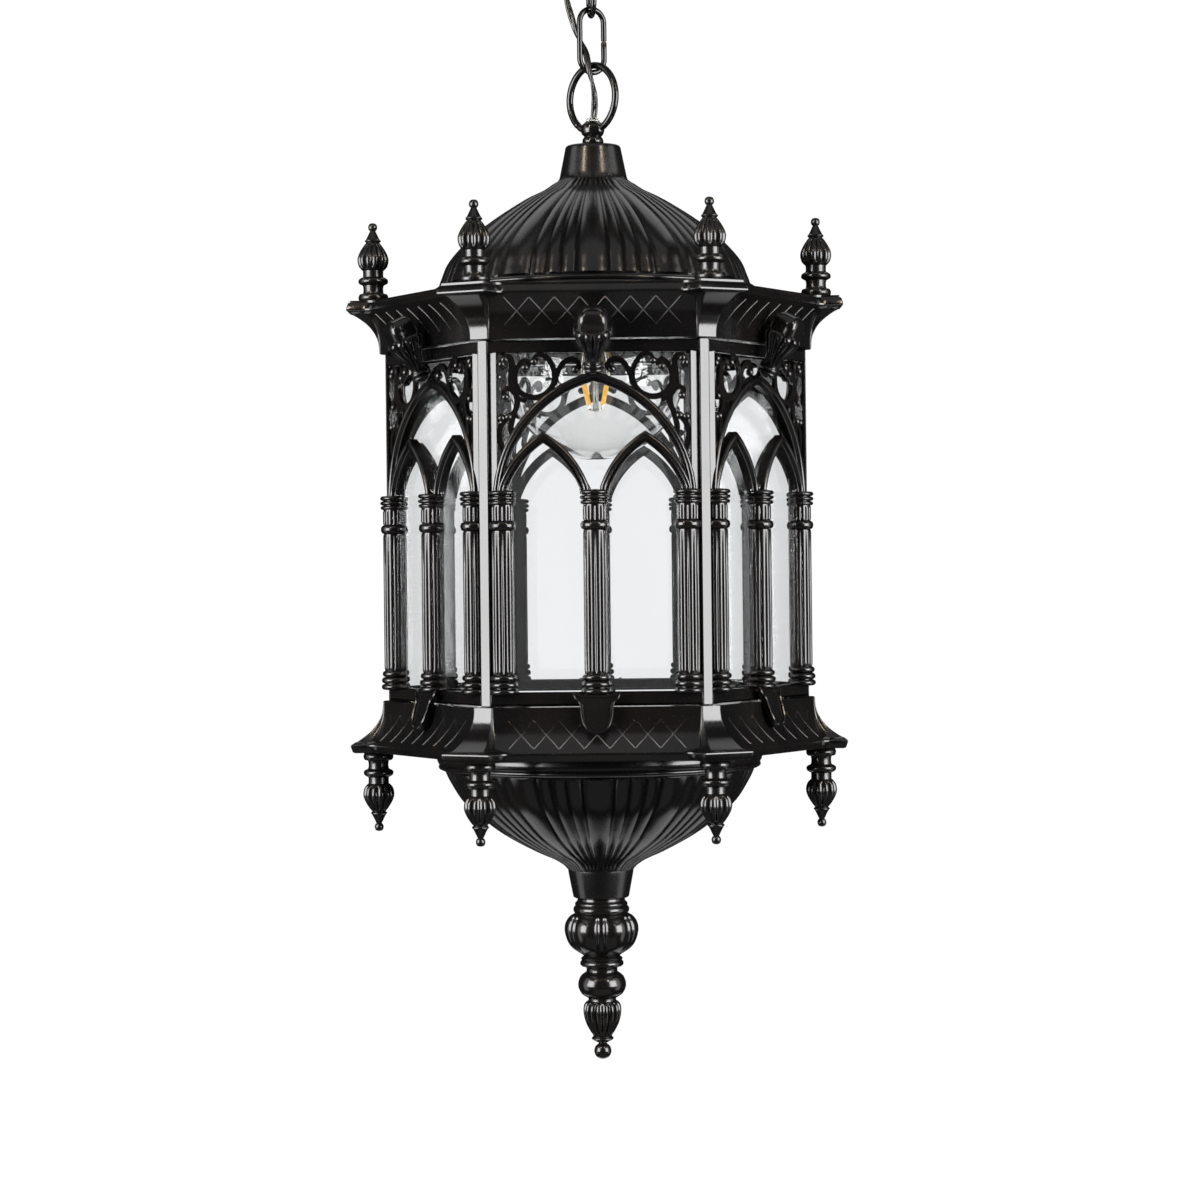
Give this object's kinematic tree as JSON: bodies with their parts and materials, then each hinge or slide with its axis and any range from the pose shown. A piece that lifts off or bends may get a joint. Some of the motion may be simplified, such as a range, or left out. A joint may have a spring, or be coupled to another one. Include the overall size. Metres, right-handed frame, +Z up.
{
  "type": "hanging lantern",
  "caption": "Hexagonal Gothic hanging lantern with pointed-arch glazed windows, fluted dome and bowl, turned finials, globe bulb, ring, chain and ceiling canopy.",
  "frame": {"origin": "centre of the ceiling face, on the crossbar's upper face", "axes": "+Z up into the ceiling, the lantern hangs in -Z; -Y is the front, a flat window face; +X is the front's right"},
  "size_m": [0.2988, 0.279, 0.7179],
  "materials": {
    "black_paint": "cast aluminium under satin black paint, faint bronze on worn edges",
    "black_wire": "steel wire under gloss black lacquer",
    "zinc_steel": "zinc plated steel",
    "black_rubber": "matt rubber",
    "black_cord": "smooth PVC sheath over a twisted pair",
    "clear_plastic": "pale clear plastic",
    "clear_glass": "clear float glass",
    "bulb_glass": "thin clear blown glass",
    "porcelain": "glazed porcelain",
    "nickel": "nickel plated brass",
    "filament": "amber coated filament sticks on a glass stem"
  },
  "bodies": {
    "ceiling_set": {"crossbar": "zinc_steel", "canopy": "black_paint", "canopy_screw_left": "black_wire", "canopy_screw_right": "black_wire", "canopy_bushing": "black_rubber", "canopy_loop": "black_wire", "cord": "black_cord"},
    "upper_link": {"link_upper": "black_wire"},
    "lower_link": {"link_lower": "black_wire"},
    "ring": {"hanging_ring": "black_wire"},
    "lantern": {"suspension_ball": "black_paint", "wire_grommet": "clear_plastic", "top_nipple": "zinc_steel", "nipple_nut": "zinc_steel", "dome": "black_paint", "upper_cornice": "black_paint", "lower_cornice": "black_paint", "bowl": "black_paint", "set_screw": "zinc_steel", "lamp_holder": "porcelain", "panel_1": "black_paint", "pane_1": "clear_glass", "corbel_1": "black_paint", "corner_post_1": "black_paint", "top_finial_1": "black_paint", "drop_finial_1": "black_paint", "panel_2": "black_paint", "pane_2": "clear_glass", "corbel_2": "black_paint", "corner_post_2": "black_paint", "top_finial_2": "black_paint", "drop_finial_2": "black_paint", "panel_3": "black_paint", "pane_3": "clear_glass", "corbel_3": "black_paint", "corner_post_3": "black_paint", "top_finial_3": "black_paint", "drop_finial_3": "black_paint", "panel_4": "black_paint", "pane_4": "clear_glass", "corbel_4": "black_paint", "corner_post_4": "black_paint", "top_finial_4": "black_paint", "drop_finial_4": "black_paint", "panel_5": "black_paint", "pane_5": "clear_glass", "corbel_5": "black_paint", "corner_post_5": "black_paint", "top_finial_5": "black_paint", "drop_finial_5": "black_paint", "panel_6": "black_paint", "pane_6": "clear_glass", "corbel_6": "black_paint", "corner_post_6": "black_paint", "top_finial_6": "black_paint", "drop_finial_6": "black_paint"},
    "bulb": {"bulb_cap": "nickel", "bulb_globe": "bulb_glass", "bulb_filament": "filament"},
    "tip": {"bottom_finial": "black_paint"}
  },
  "joints": [
    {"name": "upper_link_swing", "type": "hinge", "parent": "ceiling_set", "child": "upper_link", "pos_m": [0, 0, -0.052], "axis": [0.9833, 0.1822, 0], "range_deg": [-30, 30], "deforming": ["cord"]},
    {"name": "lower_link_swing", "type": "hinge", "parent": "upper_link", "child": "lower_link", "pos_m": [0, 0, -0.08622], "axis": [0.1822, -0.9833, 0], "range_deg": [-30, 30]},
    {"name": "ring_swing", "type": "hinge", "parent": "lower_link", "child": "ring", "pos_m": [0, 0, -0.12072], "axis": [0.866, 0.5, 0], "range_deg": [-25, 25]},
    {"name": "lantern_swing", "type": "hinge", "parent": "ring", "child": "lantern", "pos_m": [0, 0, -0.1563], "axis": [0.6997, -0.7145, 0], "range_deg": [-45, 45]},
    {"name": "bulb_turn", "type": "hinge", "parent": "lantern", "child": "bulb", "pos_m": [0, 0, -0.2193], "axis": [0, 0, 1], "range_deg": [0, 720]},
    {"name": "tip_turn", "type": "hinge", "parent": "lantern", "child": "tip", "pos_m": [0, 0, -0.6173], "axis": [0, 0, 1], "range_deg": [0, 720]}
  ]
}
